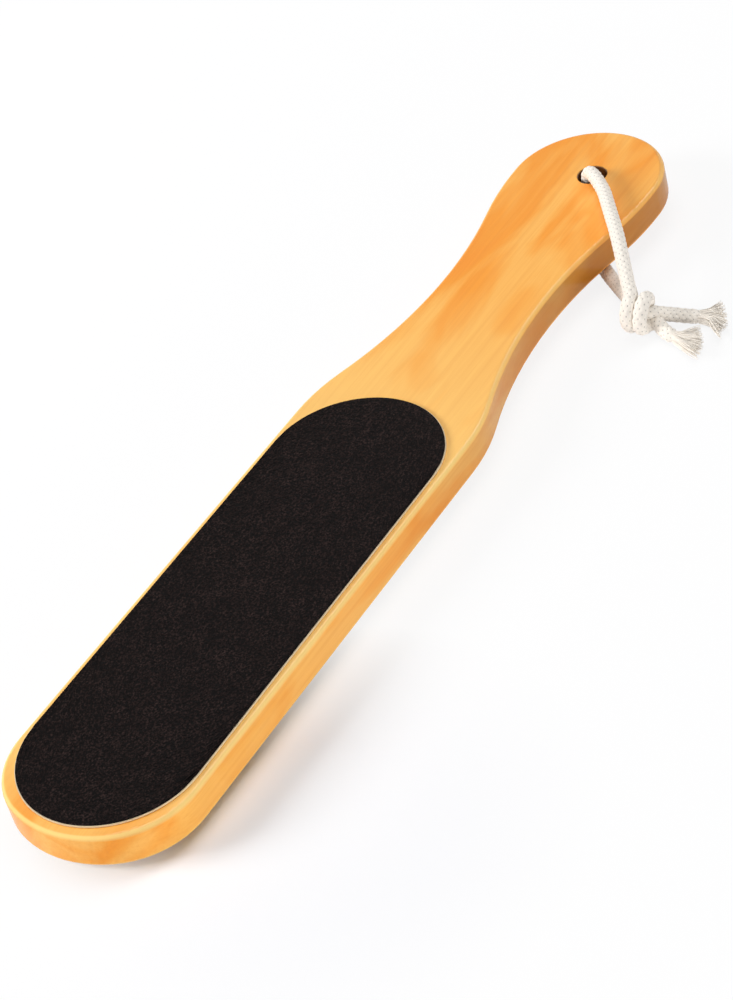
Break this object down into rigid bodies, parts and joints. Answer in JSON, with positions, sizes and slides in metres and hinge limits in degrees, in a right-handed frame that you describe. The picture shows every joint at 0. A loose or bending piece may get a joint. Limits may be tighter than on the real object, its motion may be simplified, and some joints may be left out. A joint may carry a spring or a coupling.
{
  "type": "foot file",
  "caption": "Flat wooden paddle-shaped foot file with a black abrasive sheet on each face, a waisted handle and a knotted cotton cord through a hanging hole.",
  "frame": {"origin": "middle of the board with its two abrasive sheets, half way through its thickness", "axes": "+X along the board from the head to the handle's end, +Y across it, +Z out of the front face"},
  "size_m": [0.26, 0.0802, 0.0174],
  "materials": {
    "varnished_wood": "clear varnish, satin to gloss",
    "black_grit": "coarse matt grit",
    "backing_paper": "matt cut paper edge",
    "glue": "clear dried glue",
    "cotton_cord": "braided cotton"
  },
  "bodies": {
    "paddle": {"wooden_paddle": "varnished_wood", "front_adhesive_film": "glue", "front_backing_paper": "backing_paper", "front_grit_coat": "black_grit", "rear_adhesive_film": "glue", "rear_backing_paper": "backing_paper", "rear_grit_coat": "black_grit"},
    "cord": {"cord_loop": "cotton_cord", "cord_knot": "cotton_cord", "cord_tail_upper": "cotton_cord", "cord_tail_lower": "cotton_cord"}
  },
  "joints": [
    {"name": "cord_swing", "type": "hinge", "parent": "paddle", "child": "cord", "pos_m": [0.1109, -0.0015, 0], "axis": [0, 0, 1], "range_deg": [0, 260]}
  ]
}
